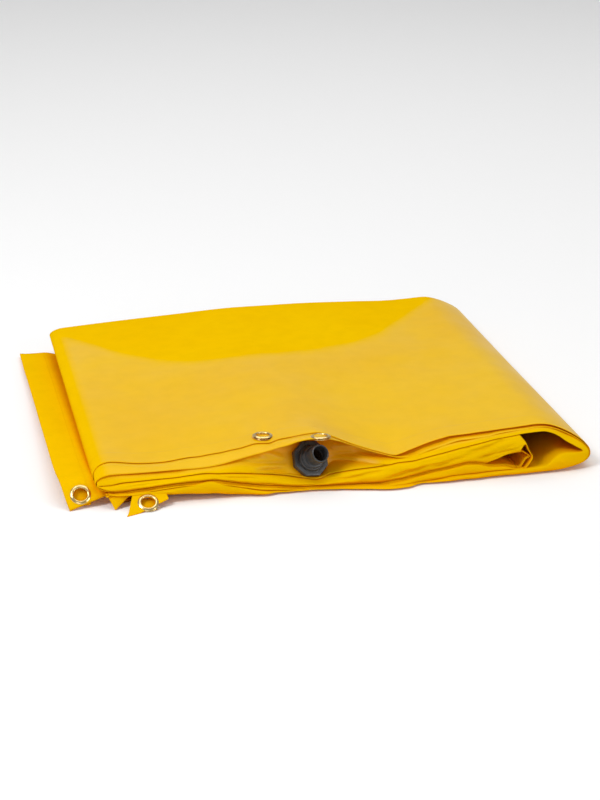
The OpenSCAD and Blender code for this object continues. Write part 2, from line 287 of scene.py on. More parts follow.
def nest(lay, near, step):
    """How far out each column's layer reaches in a roll: layer 0 is the outermost if near, else layer 3."""
    rank = {0: 0, 1: 1, 2: 2, 3: 3, 10: 1.5, 13: 2.5, 12: 1.5}
    r = np.array([rank[int(k)] for k in lay], float)
    return -step * (r if near else 3 - r)

# ------------------------------------------------------------------ meshes
def grid_object(name, P, closed=False, uvs=None):
    """A quad mesh from an array (rows, cols, 3) in millimetres, with u along rows and v along columns in metres of cloth."""
    n, m = P.shape[:2]
    me = bpy.data.meshes.new(name)
    verts = (P.reshape(-1, 3) * MM)
    i = np.arange(n - 1)[:, None] * m + np.arange(m - 1)[None, :]
    faces = np.stack([i, i + 1, i + m + 1, i + m], -1).reshape(-1, 4)
    me.vertices.add(n * m); me.vertices.foreach_set("co", verts.ravel())
    me.loops.add(faces.size); me.loops.foreach_set("vertex_index", faces.ravel().astype(np.int32))
    me.polygons.add(len(faces))
    me.polygons.foreach_set("loop_start", np.arange(0, faces.size, 4, dtype=np.int32))
    me.update(calc_edges=True); me.validate()
    # cloth coordinates
    du = np.linalg.norm(np.diff(P, axis=0), axis=2); U = np.concatenate([np.zeros((1, m)), np.cumsum(du, 0)], 0).mean(1) * MM
    dv = np.linalg.norm(np.diff(P, axis=1), axis=2); V = np.concatenate([np.zeros((n, 1)), np.cumsum(dv, 1)], 1).mean(0) * MM
    uv = np.stack(np.broadcast_arrays(U[:, None], V[None, :]), -1).reshape(-1, 2)
    layer = me.uv_layers.new(name="cloth")
    layer.data.foreach_set("uv", uv[faces.ravel()].ravel())
    me.polygons.foreach_set("use_smooth", np.ones(len(faces), bool))
    ob = bpy.data.objects.new(name, me)
    scene.collection.objects.link(ob)
    return ob

def hems(ob, P, cols, width_cols, extra, rows=None):
    pass

def thicken(ob, t=T, offset=0.0):
    m = ob.modifiers.new("ply", "SOLIDIFY"); m.thickness = t * MM; m.offset = offset; m.use_even_offset = False
    m.use_rim = True
    return m

def apply_mods(ob):
    dg = bpy.context.evaluated_depsgraph_get()
    ev = ob.evaluated_get(dg)
    me = bpy.data.meshes.new_from_object(ev, preserve_all_data_layers=True, depsgraph=dg)
    ob.modifiers.clear()
    old = ob.data; ob.data = me
    bpy.data.meshes.remove(old)

# ------------------------------------------------------------------ materials
def new_mat(name):
    m = bpy.data.materials.new(name); m.use_nodes = True
    nt = m.node_tree; nt.nodes.clear()
    out = nt.nodes.new("ShaderNodeOutputMaterial"); b = nt.nodes.new("ShaderNodeBsdfPrincipled")
    nt.links.new(b.outputs["BSDF"], out.inputs["Surface"])
    return m, nt, b, out

def N(nt, kind, **kw):
    n = nt.nodes.new(kind)
    for k, v in kw.items():
        if k.startswith("i_"): n.inputs[k[2:].replace("_", " ")].default_value = v
        else: setattr(n, k, v)
    return n

def ramp(nt, fac, stops):
    r = nt.nodes.new("ShaderNodeValToRGB")
    nt.links.new(fac, r.inputs["Fac"])
    el = r.color_ramp.elements
    while len(el) > len(stops): el.remove(el[-1])
    while len(el) < len(stops): el.new(0.5)
    for e, (p, c) in zip(el, stops):
        e.position = p; e.color = c if len(c) == 4 else (*c, 1)
    return r

HEM_V = 2.730     # the run's far hem, in metres of cloth across it
def vinyl_material():
    m, nt, b, out = new_mat("yellow_vinyl")
    tc = N(nt, "ShaderNodeTexCoord")
    uv = N(nt, "ShaderNodeUVMap", uv_map="cloth")
    big = N(nt, "ShaderNodeTexNoise"); big.inputs["Scale"].default_value = 5.0; big.inputs["Detail"].default_value = 3.0
    nt.links.new(tc.outputs["Object"], big.inputs["Vector"])
    mid = N(nt, "ShaderNodeTexNoise"); mid.inputs["Scale"].default_value = 38.0; mid.inputs["Detail"].default_value = 5.0; mid.inputs["Roughness"].default_value = 0.6
    nt.links.new(tc.outputs["Object"], mid.inputs["Vector"])
    # colour: saturated yellow, a little deeper where the film is scuffed
    c1 = ramp(nt, big.outputs["Fac"], [(0.30, (0.92, 0.548, 0.0005)), (0.52, (0.935, 0.572, 0.0006)), (0.75, (0.945, 0.595, 0.0008))])
    c2 = ramp(nt, mid.outputs["Fac"], [(0.35, (0.90, 0.89, 0.86)), (0.6, (1, 1, 1))])
    mx = N(nt, "ShaderNodeMix", data_type="RGBA", blend_type="MULTIPLY"); mx.inputs["Factor"].default_value = 0.35
    nt.links.new(c1.outputs["Color"], mx.inputs["A"]); nt.links.new(c2.outputs["Color"], mx.inputs["B"])
    nt.links.new(mx.outputs["Result"], b.inputs["Base Color"])
    # gloss: calendered film with rub marks
    scr = N(nt, "ShaderNodeTexNoise"); scr.inputs["Scale"].default_value = 14.0; scr.inputs["Detail"].default_value = 6.0
    nt.links.new(tc.outputs["Object"], scr.inputs["Vector"])
    rr = ramp(nt, scr.outputs["Fac"], [(0.32, (0.30,) * 3), (0.70, (0.42,) * 3)])
    nt.links.new(rr.outputs["Color"], b.inputs["Roughness"])
    sep = N(nt, "ShaderNodeSeparateXYZ"); nt.links.new(tc.outputs["Object"], sep.inputs["Vector"])
    def span(src, a0, a1):
        r = N(nt, "ShaderNodeMapRange", interpolation_type="SMOOTHSTEP")
        r.inputs["From Min"].default_value = a0; r.inputs["From Max"].default_value = a1
        nt.links.new(src, r.inputs["Value"]); return r.outputs["Result"]
    def op(kind, u, v):
        n_ = N(nt, "ShaderNodeMath", operation=kind)
        for k_, x_ in enumerate((u, v)):
            if isinstance(x_, float): n_.inputs[k_].default_value = x_
            else: nt.links.new(x_, n_.inputs[k_])
        return n_.outputs["Value"]
    # the film is rubbed dull behind a bowed line across the back of the top, round the left roll, on the flap and on the front folds
    fc = N(nt, "ShaderNodeFloatCurve"); cv = fc.mapping.curves[0]
    pts = [(-0.344, 0.279), (-0.307, 0.228), (-0.264, 0.166), (-0.184, 0.093), (-0.081, 0.066), (0.021, 0.080), (0.094, 0.101), (0.152, 0.130), (0.226, 0.213), (0.277, 0.271), (0.318, 0.321)]
    pts = [(x_ + 0.5, y_ + 0.5) for x_, y_ in pts]
    cv.points[0].location = (0.0, 0.95); cv.points[1].location = (1.0, 1.0)
    for q_ in pts: cv.points.new(*q_)
    fc.mapping.update()
    nt.links.new(op("ADD", sep.outputs["X"], 0.5), fc.inputs["Value"])
    line = op("SUBTRACT", op("ADD", sep.outputs["Y"], 0.5), fc.outputs["Value"])
    line = op("ADD", line, op("MULTIPLY", op("SUBTRACT", big.outputs["Fac"], 0.5), 0.05))
    haze = op("SUBTRACT", 1.0, span(line, -0.020, 0.020))
    haze = op("MAXIMUM", haze, span(sep.outputs["X"], 0.31, 0.335))
    haze = op("MAXIMUM", haze, op("SUBTRACT", 1.0, span(sep.outputs["Z"], 0.026, 0.032)))
    haze = op("MULTIPLY", haze, span(sep.outputs["X"], -0.352, -0.336))
    haze = op("MULTIPLY", haze, span(sep.outputs["Y"], -0.336, -0.326))
    patchy = N(nt, "ShaderNodeTexNoise"); patchy.inputs["Scale"].default_value = 7.0; patchy.inputs["Detail"].default_value = 2.0
    sq_ = N(nt, "ShaderNodeMapping"); sq_.inputs["Scale"].default_value = (0.45, 1.6, 1.0)
    nt.links.new(tc.outputs["Object"], sq_.inputs["Vector"]); nt.links.new(sq_.outputs["Vector"], patchy.inputs["Vector"])
    haze = op("MULTIPLY", haze, op("ADD", 0.55, op("MULTIPLY", patchy.outputs["Fac"], 0.9)))
    nt.links.new(op("ADD", op("MULTIPLY", haze, 0.15), 0.0), b.inputs["Specular IOR Level"])
    b.inputs["IOR"].default_value = 1.5
    # the scrim's weave telegraphs through the film
    wx = N(nt, "ShaderNodeTexWave", wave_type="BANDS", bands_direction="X"); wx.inputs["Scale"].default_value = 220.0; wx.inputs["Distortion"].default_value = 0.4
    wy = N(nt, "ShaderNodeTexWave", wave_type="BANDS", bands_direction="Y"); wy.inputs["Scale"].default_value = 220.0; wy.inputs["Distortion"].default_value = 0.4
    nt.links.new(uv.outputs["UV"], wx.inputs["Vector"]); nt.links.new(uv.outputs["UV"], wy.inputs["Vector"])
    ad = N(nt, "ShaderNodeMath", operation="ADD"); nt.links.new(wx.outputs["Fac"], ad.inputs[0]); nt.links.new(wy.outputs["Fac"], ad.inputs[1])
    su = N(nt, "ShaderNodeSeparateXYZ"); nt.links.new(uv.outputs["UV"], su.inputs["Vector"])
    hem = op("MAXIMUM", op("SUBTRACT", 1.0, span(su.outputs["Y"], 0.0385, 0.0400)), span(su.outputs["Y"], HEM_V - 0.0400, HEM_V - 0.0385))
    weld = op("MAXIMUM", op("MULTIPLY", span(su.outputs["Y"], 0.0365, 0.0385), op("SUBTRACT", 1.0, span(su.outputs["Y"], 0.0400, 0.0420))),
              op("MULTIPLY", span(su.outputs["Y"], HEM_V - 0.0420, HEM_V - 0.0400), op("SUBTRACT", 1.0, span(su.outputs["Y"], HEM_V - 0.0385, HEM_V - 0.0365))))
    b0 = N(nt, "ShaderNodeBump"); b0.inputs["Strength"].default_value = 0.3; b0.inputs["Distance"].default_value = 0.0005
    nt.links.new(hem, b0.inputs["Height"])
    mw = N(nt, "ShaderNodeMix", data_type="RGBA", blend_type="MULTIPLY"); mw.inputs["B"].default_value = (0.9, 0.84, 0.7, 1)
    nt.links.new(op("MULTIPLY", weld, 0.22), mw.inputs["Factor"]); nt.links.new(mx.outputs["Result"], mw.inputs["A"])
    # painted shade: ambient occlusion multiplies the base colour deeper and more orange where the folds close in
    ao = N(nt, "ShaderNodeAmbientOcclusion"); ao.samples = 8; ao.inputs["Distance"].default_value = 0.045
    deep = ramp(nt, ao.outputs["AO"], [(0.12, (0.98, 0.50, 0.3)), (0.62, (1.0, 0.84, 0.8)), (0.97, (1, 1, 1))])
    # painted shade mixed into the base colour: darker, more orange fold lines and pockets
    painted_fold_shade = N(nt, "ShaderNodeMix", data_type="RGBA", blend_type="MULTIPLY"); painted_fold_shade.inputs["Factor"].default_value = 0.85
    nt.links.new(mw.outputs["Result"], painted_fold_shade.inputs["A"]); nt.links.new(deep.outputs["Color"], painted_fold_shade.inputs["B"])
    nt.links.new(painted_fold_shade.outputs["Result"], b.inputs["Base Color"])
    b1 = N(nt, "ShaderNodeBump"); nt.links.new(b0.outputs["Normal"], b1.inputs["Normal"]); b1.inputs["Strength"].default_value = 0.035; b1.inputs["Distance"].default_value = 0.0003
    nt.links.new(ad.outputs["Value"], b1.inputs["Height"])
    b2 = N(nt, "ShaderNodeBump"); b2.inputs["Strength"].default_value = 0.10; b2.inputs["Distance"].default_value = 0.0012
    nt.links.new(mid.outputs["Fac"], b2.inputs["Height"]); nt.links.new(b1.outputs["Normal"], b2.inputs["Normal"])
    nt.links.new(b2.outputs["Normal"], b.inputs["Normal"])
    tr = N(nt, "ShaderNodeBsdfTranslucent"); tr.inputs["Color"].default_value = (0.95, 0.36, 0.0, 1)
    nt.links.new(b2.outputs["Normal"], tr.inputs["Normal"])
    ms = N(nt, "ShaderNodeMixShader"); ms.inputs["Fac"].default_value = 0.16
    nt.links.new(b.outputs["BSDF"], ms.inputs[1]); nt.links.new(tr.outputs["BSDF"], ms.inputs[2])
    nt.links.new(ms.outputs["Shader"], out.inputs["Surface"])
    return m

def brass_material():
    m, nt, b, out = new_mat("brass_eyelet")
    tc = N(nt, "ShaderNodeTexCoord")
    n1 = N(nt, "ShaderNodeTexNoise"); n1.inputs["Scale"].default_value = 180.0; n1.inputs["Detail"].default_value = 5.0
    nt.links.new(tc.outputs["Object"], n1.inputs["Vector"])
    c = ramp(nt, n1.outputs["Fac"], [(0.3, (0.62, 0.42, 0.14)), (0.55, (0.80, 0.60, 0.26)), (0.8, (0.90, 0.74, 0.42))])
    nt.links.new(c.outputs["Color"], b.inputs["Base Color"])
    b.inputs["Metallic"].default_value = 1.0
    r = ramp(nt, n1.outputs["Fac"], [(0.3, (0.30,) * 3), (0.7, (0.16,) * 3)])
    nt.links.new(r.outputs["Color"], b.inputs["Roughness"])
    bp = N(nt, "ShaderNodeBump"); bp.inputs["Strength"].default_value = 0.12; bp.inputs["Distance"].default_value = 0.0003
    nt.links.new(n1.outputs["Fac"], bp.inputs["Height"]); nt.links.new(bp.outputs["Normal"], b.inputs["Normal"])
    return m

def plastic_material(name="black_plastic", base=0.028, rough=(0.38, 0.55)):
    m, nt, b, out = new_mat(name)
    tc = N(nt, "ShaderNodeTexCoord")
    n1 = N(nt, "ShaderNodeTexNoise"); n1.inputs["Scale"].default_value = 900.0; n1.inputs["Detail"].default_value = 3.0
    n2 = N(nt, "ShaderNodeTexNoise"); n2.inputs["Scale"].default_value = 60.0; n2.inputs["Detail"].default_value = 4.0
    nt.links.new(tc.outputs["Object"], n1.inputs["Vector"]); nt.links.new(tc.outputs["Object"], n2.inputs["Vector"])
    c = ramp(nt, n2.outputs["Fac"], [(0.3, (base * 0.8,) * 3), (0.6, (base, base, base * 1.06)), (0.8, (base * 1.5, base * 1.5, base * 1.58))])
    nt.links.new(c.outputs["Color"], b.inputs["Base Color"])
    r = ramp(nt, n2.outputs["Fac"], [(0.3, (rough[0],) * 3), (0.7, (rough[1],) * 3)])
    nt.links.new(r.outputs["Color"], b.inputs["Roughness"])
    bp = N(nt, "ShaderNodeBump"); bp.inputs["Strength"].default_value = 0.18; bp.inputs["Distance"].default_value = 0.0002
    nt.links.new(n1.outputs["Fac"], bp.inputs["Height"]); nt.links.new(bp.outputs["Normal"], b.inputs["Normal"])
    return m

VINYL = vinyl_material(); BRASS = brass_material(); BLACK = plastic_material(base=0.036, rough=(0.26, 0.42)); RUBBER = plastic_material("black_rubber", 0.012, (0.6, 0.8))

def finish_piece(ob, mat, body=None):
    ob.data.materials.clear(); ob.data.materials.append(mat)
    if body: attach(ob, body)

# ------------------------------------------------------------------ the folded sheet
def stations(a, b, n): return np.linspace(a, b, n)

top_x = stations(XR, XL, 172)
TOP, LAY = pass_points(top_x, top_pass)
p2_x = stations(XL + 2, XI, 130)
PASS2, _ = pass_points(p2_x, second_pass)
p3_x = stations(XI - 3, -350, 130)
PASS3, _ = pass_points(p3_x, third_pass)
bt_x = stations(XR, -346, 110)
BOTM, _ = pass_points(bt_x, bottom_pass)
NOSE = [i for i, k in enumerate(LAY) if k == 13]
NCOL = TOP.shape[1]
YCOL = TOP[60, :, 1]

def drain_dent(P):
    """Presses the nose around the fitting to the fitting's plane."""
    X, Y, Z = P[..., 0], P[..., 1], P[..., 2]
    plane = DRAIN_O[1] + ((X - DRAIN_O[0]) * DRAIN_A[0] + (Z - DRAIN_O[2]) * DRAIN_A[2]) / -DRAIN_A[1]
    d = np.hypot(X - DRAIN_O[0], (Z - DRAIN_O[2]) * 1.1)
    w = 1 - smooth(30.0, 118.0, d)
    sel = np.zeros(P.shape[:2], bool); sel[:, NOSE] = True
    Y[sel] = (Y + (plane - Y) * w)[sel]

def ridge(t, w=0.35):
    """A soft crease: 1 on the line, 0 away from it."""
    return np.exp(-(np.asarray(t) / w) ** 2)

def crease(P, cols, x0, z0, x1, z1, width, depth):
    """Pulls the cloth in along a straight crease on a front face, from one point to the other."""
    X, Z = P[:, cols, 0], P[:, cols, 2]
    d = np.array([x1 - x0, z1 - z0]); L = np.hypot(*d); d = d / L
    s = (X - x0) * d[0] + (Z - z0) * d[1]; t = -(X - x0) * d[1] + (Z - z0) * d[0]
    on = smooth(-0.1 * L, 0.25 * L, s) * (1 - smooth(0.7 * L, 1.1 * L, s))
    P[:, cols, 1] += 1.5 * depth * np.exp(-(t / width) ** 2) * on

drain_dent(TOP)
noseT = np.array(NOSE)
# pulls in the cloth that run off from the fitting and the valley
for c in ((-20, 30, 70, 40, 3.0, 3.2), (-18, 24, 30, 20, 2.6, 2.6), (-82, 34, -150, 46, 3.2, 3.0), (-84, 26, -128, 33, 2.6, 2.4),
          (-86, 40, -120, 57, 2.8, -2.0), (-10, 44, 30, 46, 3.0, -2.4), (20, 40, 70, 34, 2.2, 3.0), (110, 40, 210, 54, 2.2, 1.6),
          (-260, 38, -180, 40, 2.0, 1.6), (130, 45, 190, 50, 1.6, -1.6)):
    crease(TOP, noseT, *c)
for c in ((-60, 11, 10, 15, 1.8, 2.2), (0, 14, 60, 24, 2.2, 2.6), (60, 12, 130, 30, 2.4, 2.8), (120, 22, 220, 46, 2.6, 2.0), (-200, 33, -120, 24, 1.8, 2.0),
          (-320, 28, -250, 32, 1.6, 1.8), (90, 24, 150, 33, 1.8, -2.0), (180, 40, 250, 56, 2.2, 2.2), (200, 32, 262, 50, 2.6, 1.6), (196, 31, 262, 43, 1.2, 2.4), (212, 22, 246, 34, 2.0, -1.6)):
    crease(PASS2, noseT, *c)
def crumple(P, amp, seed, cols):
    X, Z = P[:, cols, 0], P[:, cols, 2]
    P[:, cols, 1] -= amp * (1 - 2 * np.abs(waves(X, 2.2 * Z, seed, 7, 34., 120.)))
crumple(TOP, 0.5, 11, noseT); crumple(PASS2, 0.9, 12, noseT); crumple(PASS3, 0.7, 13, noseT); crumple(BOTM, 0.8, 14, noseT)

# left roll
reach_l = 28 + nest(LAY, True, 1.6)
ROLL = arc(TOP[-1].copy(), PASS2[0].copy(), -1, 17, reach_l)

# inner fold: a star where its front is pinched
reach_i = 9 + nest(LAY, False, 1.6)
INNER = arc(PASS2[-1].copy(), PASS3[0].copy(), 1, 17, reach_i)

def follow(pts, n):
    pts = np.asarray(pts, float); L = np.concatenate([[0], np.cumsum(np.hypot(*np.diff(pts, axis=0).T))])
    t = np.linspace(0, L[-1], n)
    return np.stack([np.interp(t, L, pts[:, 0]), np.interp(t, L, pts[:, 1])], 1)

def soften(path, k=1):
    q = path.copy()
    for _ in range(k): q[1:-1] = 0.5 * q[1:-1] + 0.25 * (q[:-2] + q[2:])
    return q

def pull(ROWS, cols, path, y0, y1):
    """Draws the rows of some columns to a path in X and Z at the front, fading out to y1."""
    n = ROWS.shape[0]
    w = 1 - smooth(y0, y1, ROWS[:, cols, 1])
    for j, c in enumerate(cols):
        ww = w[:, j]
        ROWS[:, c, 0] += (path[:, 0] - ROWS[:, c, 0]) * ww
        ROWS[:, c, 2] += (path[:, 1] - ROWS[:, c, 2]) * ww

a0, b0 = PASS2[-1], PASS3[0]
def between(cols): return [tuple(a0[cols, [0, 2]]) if False else (float(a0[cols, 0]), float(a0[cols, 2])), (float(b0[cols, 0]), float(b0[cols, 2]))]
inner_cols = {k: [i for i, q in enumerate(LAY) if q == k] for k in (0, 1, 2, 3)}
def first_front(k):
    c = inner_cols[k]; return min(c, key=lambda i: a0[i, 1])
# layers 0 and 1 line the hollow: they pinch to the star's points
for k, off in ((0, 0.0), (1, 1.1)):
    c = first_front(k); (xa, za), (xb, zb) = between(c)
    path = [(xa, za), (266, 35.5 + off), (272, 30.0 + off), (279 + off, 26.4), (271, 24.5 - off), (268, 18.0 - off), (263, 9.6 - off), (256, 12.4 - off), (xb, zb)]
    path = soften(follow(path, INNER.shape[0] + 2), 1)[1:-1]
    pull(INNER, inner_cols[k], path, -330, -190)
# layers 2 and 3 and the nose between them close over it
for k, off in ((2, 2.2), (3, 3.4)):
    c = first_front(k); (xa, za), (xb, zb) = between(c)
    path = [(xa, za), (267.5 + off, 50), (272 + off, 37), (279.5 + off, 26.2), (274 + off, 18), (266 + off, 9.4 - 0.4 * off), (261, 8.2 - 0.6 * off), (xb, zb)]
    path = soften(follow(path, INNER.shape[0] + 2), 1)[1:-1]
    pull(INNER, inner_cols[k], path, -330, -170)
c2, c3 = first_front(2), first_front(3)
for i, c in enumerate(NOSE):
    m = (i + 1) / (len(NOSE) + 1)
    mm = (1 - math.cos(math.pi * m)) / 2
    for ax in (0, 2):
        INNER[:, c, ax] = INNER[:, c3, ax] + (INNER[:, c2, ax] - INNER[:, c3, ax]) * mm

# right fold: the two hem layers and the next go round outside, the lip of the nose turns in
reach_r = 69.0 + nest(LAY, True, 0.9)
RIGHT_IN = arc(TOP[0].copy(), BOTM[0].copy(), 1, 31, reach_r, 0.42)
r0, r1 = TOP[0], BOTM[0]
lip_c = first_front(3)
lip = [(float(r0[lip_c, 0]), float(r0[lip_c, 2])), (312, 59.5), (320, 56.0), (331, 47.0), (349, 36.0), (360, 30.0), (363.5, 27.6), (360, 26.2), (348, 27.0), (334, 28.6), (320, 26.6), (311, 19.5), (306, 13.4), (float(r1[lip_c, 0]), float(r1[lip_c, 2]))]
lip = soften(follow(lip, RIGHT_IN.shape[0] + 2), 2)[1:-1]
pull(RIGHT_IN, inner_cols[3], lip, -335, -150)
c2 = first_front(2)
for i, c in enumerate(NOSE):
    m = (i + 1) / (len(NOSE) + 1)
    mm = (1 - math.cos(math.pi * m)) / 2
    for ax in (0, 2):
        RIGHT_IN[:, c, ax] = RIGHT_IN[:, lip_c, ax] + (RIGHT_IN[:, c2, ax] - RIGHT_IN[:, lip_c, ax]) * mm
    RIGHT_IN[:, c, 1] = RIGHT_IN[:, lip_c, 1] + (RIGHT_IN[:, c2, 1] - RIGHT_IN[:, lip_c, 1]) * m - 3.0 * math.sin(math.pi * m)
crumple(RIGHT_IN, 0.8, 15, noseT)

# ---- one grid for the whole run of the sheet, then cut at the joints into the pieces that move
FULL = np.concatenate([BOTM[::-1], RIGHT_IN[::-1], TOP, ROLL, PASS2, INNER, PASS3], 0)
nb, nr = len(BOTM), len(RIGHT_IN)
part_row = np.zeros(len(FULL) - 1, int)               # 0 bottom, 1 right fold, 2 upper
part_row[nb - 1:nb + nr] = 1
part_row[nb + nr:] = 2

def eased(P, rows, n=2):
    """Evens out small steps across the joins between the pieces of the run."""
    for r in rows:
        lo, hi = max(1, r - 5), min(len(P) - 1, r + 6)
        for _ in range(n):
            P[lo:hi] = 0.5 * P[lo:hi] + 0.25 * (P[lo - 1:hi - 1] + P[lo + 1:hi + 1])
eased(FULL, [nb, nb + nr, nb + nr + len(TOP), nb + nr + len(TOP) + len(ROLL)], 2)

HOLES = [(-111.0, -281.0, 66.0, 0), (-34.0, -322.0, 72.0, 1)]
full = grid_object("whole_run", FULL)
me = full.data
fa = me.attributes.new("part", "INT", "FACE")
fa.data.foreach_set("value", np.repeat(part_row, NCOL - 1).astype(np.int32))

def cut_holes(ob, holes, r):
    bm = bmesh.new(); bm.from_mesh(ob.data)
    kill = []
    for x, y, z in holes:
        for f in bm.faces:
            c = f.calc_center_median()
            if math.hypot(c.x / MM - x, c.y / MM - y) < r and abs(c.z / MM - z) < 3.5: kill.append(f)
    bmesh.ops.delete(bm, geom=list(set(kill)), context="FACES")
    bm.to_mesh(ob.data); bm.free()

NVERT = len(full.data.vertices)
thicken(full); apply_mods(full)
me = full.data
me.polygons.foreach_set("use_smooth", np.ones(len(me.polygons), bool))
normals = np.zeros(len(me.loops) * 3); me.corner_normals.foreach_get("vector", normals); normals = normals.reshape(-1, 3)
part = np.zeros(len(me.polygons), np.int32); me.attributes["part"].data.foreach_get("value", part)
co_all = np.zeros(len(me.vertices) * 3); me.vertices.foreach_get("co", co_all); co_all = co_all.reshape(-1, 3)
lv = np.zeros(len(me.loops), np.int32); me.loops.foreach_get("vertex_index", lv)
ls = np.zeros(len(me.polygons), np.int32); me.polygons.foreach_get("loop_start", ls)
lt = np.zeros(len(me.polygons), np.int32); me.polygons.foreach_get("loop_total", lt)
uv_all = np.zeros(len(me.loops) * 2); me.uv_layers["cloth"].data.foreach_get("uv", uv_all); uv_all = uv_all.reshape(-1, 2)

def piece_of(k, name):
    pf = np.nonzero(part == k)[0]
    loops = np.concatenate([np.arange(ls[f], ls[f] + lt[f]) for f in pf])
    quads, qn = [], []
    directed = set()
    for f in pf:
        ids = lv[ls[f]:ls[f] + lt[f]]
        directed.update(zip(ids.tolist(), np.roll(ids, -1).tolist()))
    for row in (nb - 1, nb + nr):
        for j in range(NCOL - 1):
            a_, b_ = row * NCOL + j, row * NCOL + j + 1
            e_ = (a_, b_)
            if (a_, b_) in directed and (b_, a_) in directed: continue
            if (a_, b_) in directed: q_ = (b_, a_, a_ + NVERT, b_ + NVERT)
            elif (b_, a_) in directed: q_ = (a_, b_, b_ + NVERT, a_ + NVERT)
            else: continue
            quads.append(q_)
    used, inv = np.unique(np.concatenate([lv[loops], np.array(quads, int).ravel()]), return_inverse=True)
    m = bpy.data.meshes.new(name)
    m.vertices.add(len(used)); m.vertices.foreach_set("co", co_all[used].ravel())
    nq = len(quads)
    m.loops.add(len(inv)); m.loops.foreach_set("vertex_index", inv.astype(np.int32))
    m.polygons.add(len(pf) + nq)
    tot = np.concatenate([lt[pf], np.full(nq, 4)])
    m.polygons.foreach_set("loop_start", np.concatenate([[0], np.cumsum(tot)[:-1]]).astype(np.int32))
    m.update(calc_edges=True)
    m.uv_layers.new(name="cloth").data.foreach_set("uv", np.concatenate([uv_all[loops], np.zeros((4 * nq, 2))]).ravel())
    m.polygons.foreach_set("use_smooth", np.ones(len(pf) + nq, bool))
    side = np.zeros((4 * nq, 3))
    m.polygons.foreach_get("normal", fnorm := np.zeros((len(pf) + nq) * 3))
    side = np.repeat(fnorm.reshape(-1, 3)[len(pf):], 4, 0)
    m.normals_split_custom_set(np.concatenate([normals[loops], side]).tolist())
    ob = bpy.data.objects.new(name, m); scene.collection.objects.link(ob)
    return ob
sheet_bottom = piece_of(0, "bottom_sheet")
sheet_right = piece_of(1, "right_fold_sheet")
sheet_upper = piece_of(2, "folded_sheet")
bpy.data.objects.remove(full); bpy.data.meshes.remove(me)

# ---- the corner flap, and what shows of the under corner
def prof(y):
    a = 20.5 - 0.0422 * y; b = y + 347.5; k = 15.0
    h = np.maximum(k - np.abs(a - b), 0) / k
    return np.minimum(a, b) - h * h * k / 4
FL = [(329.8, -418.2), (240, -418.6), (179, -417.8), (60, -417.0), (-39, -416.6), (-145, -415.9), (-247, -415.3), (-290, -413.8), (-308, -412.2), (-320, -410.0), (-332, -407.0), (-346, -402.2)]
def flap_left(y):
    p = sorted(FL); return interp(y, [q[0] for q in p], [q[1] for q in p])
NV, NU = 260, 33
v = np.linspace(0, 1, NV) ** 0.8
FLAP = np.zeros((NV, NU, 3))
for j in range(NU):
    u = j / (NU - 1)
    yend = -347.2 + 14.5 * u                       # the front edge runs back to the right
    y = 331 + (yend - 331) * v
    xl = flap_left(y); xr = np.full(NV, -344.0)
    x = xl + (xr - xl) * u
    z = prof(y)
    # the strip dips a little where it leaves the stack, and lifts along its edge
    z = z - 1.6 * np.sin(math.pi * u) * smooth(-300, -200, y) + 0.5 * waves(x * 3, y, 21) * smooth(-290, -180, y)
    under = smooth(0.55, 1.0, u) * 7.0 * smooth(-345, -230, y)
    FLAP[:, j] = np.stack([x, y, np.maximum(z - under, 0.6)], 1)
flap = grid_object("corner_flap_sheet", FLAP)
def cut_round(ob, centre, r):
    bm = bmesh.new(); bm.from_mesh(ob.data); c = Vector(centre) * MM
    bmesh.ops.delete(bm, geom=[f for f in bm.faces if (f.calc_center_median() - c).length < r * MM], context="FACES")
    bm.to_mesh(ob.data); bm.free()
cut_round(flap, (-384.5, -330.5, 17.0), 11.4)
thicken(flap, 1.4); apply_mods(flap)

def backing(name, o, tilt, size, off):
    """The next ply, seen through an eyelet."""
    o = np.array(o, float); n_ = 13
    g = np.linspace(-size, size, n_)
    P = np.array([[o + [a, b * math.cos(tilt) + off * math.sin(tilt), b * math.sin(tilt) - off * math.cos(tilt)] for a in g] for b in g])
    P[..., 2] = np.maximum(P[..., 2], 0.5)
    return grid_object(name, P)
flap_ply = backing("flap_ply_sheet", (-384.5, -330.5, 17.0), math.radians(45), 14.0, 6.5)
thicken(flap_ply); apply_mods(flap_ply)

def patch(name, rim, n, t=T, sag=0.0):
    """A four-cornered piece of cloth between points a, b (back edge) and c, d (front edge)."""
    a, b, c, d = [np.array(p, float) for p in rim]
    u = np.linspace(0, 1, n)[:, None, None]; w = np.linspace(0, 1, n)[None, :, None]
    P = (a * (1 - w) + b * w) * (1 - u) + (d * (1 - w) + c * w) * u
    P[..., 2] += sag * np.sin(math.pi * u[..., 0]) * np.sin(math.pi * w[..., 0])
    return grid_object(name, P)

UE = np.array([-292.0, -360.5, 9.2]); UT = math.radians(30)
def on_under(a, b, c=0.0):
    """A point on the under corner's plane: a across, b up its slope, c off it."""
    return UE + np.array([a, b * math.cos(UT) - c * math.sin(UT), b * math.sin(UT) + c * math.cos(UT)])
rows = []
for v_ in np.linspace(0, 1, 40):
    l = on_under(-33 + 13 * v_, -26.5 + 44 * v_); r = on_under(30 - 3 * v_, 4 + 13.5 * v_)
    rows.append([l + (r - l) * q for q in np.linspace(0, 1, 40)])
under = grid_object("under_corner_sheet", np.array(rows))
for vtx in under.data.vertices: vtx.co.z = max(vtx.co.z, 0.0007)
bm = bmesh.new(); bm.from_mesh(under.data)
kill = [f for f in bm.faces if (f.calc_center_median() - Vector(UE * MM)).length < 0.0112]
bmesh.ops.delete(bm, geom=kill, context="FACES"); bm.to_mesh(under.data); bm.free()
thicken(under, 1.6); apply_mods(under)
under_ply = backing("under_ply_sheet", UE, UT, 12.0, 6.4)
thicken(under_ply); apply_mods(under_ply)
tipr = []
